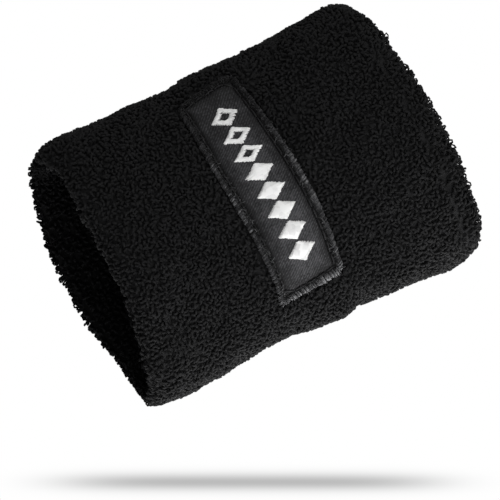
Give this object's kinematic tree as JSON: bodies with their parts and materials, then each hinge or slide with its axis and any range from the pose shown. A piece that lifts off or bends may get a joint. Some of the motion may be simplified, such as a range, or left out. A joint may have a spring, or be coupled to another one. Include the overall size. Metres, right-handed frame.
{
  "type": "sweat wristband",
  "caption": "Double-walled terry sweat wristband, an elastic oval sleeve folded at both rims, with a sewn embroidered patch on the front.",
  "frame": {"origin": "centre of the opening in the plane of the lower rim, z = 0 on the face the band rests on", "axes": "+Z along the band's axis, from the rim it stands on to the other rim; X across the wide way of the relaxed oval; the embroidered patch faces -Y; +Y is the plain back"},
  "size_m": [0.06, 0.0383, 0.08],
  "materials": {
    "black_terry_cotton": "black cotton terry loops, matt",
    "black_ground_knit": "fine black knit, matt",
    "covered_elastic": "elastic core wrapped in black nylon",
    "black_sewing_thread": "black polyester sewing thread, slight sheen",
    "black_backing": "stiff non-woven backing, matt",
    "charcoal_twill": "fine charcoal twill weave",
    "charcoal_border_thread": "charcoal rayon edge stitching with a sheen",
    "white_embroidery_thread": "white rayon satin stitch"
  },
  "bodies": {
    "root": {"terry_pile": "black_terry_cotton", "ground_knit": "black_ground_knit", "elastic_yarn": "covered_elastic", "closing_seam_thread": "black_sewing_thread", "patch_backing": "black_backing", "patch_fabric": "charcoal_twill", "patch_border_thread": "charcoal_border_thread", "patch_motif_thread": "white_embroidery_thread", "patch_needle_thread": "black_sewing_thread", "patch_bobbin_thread": "black_sewing_thread"}
  },
  "joints": []
}
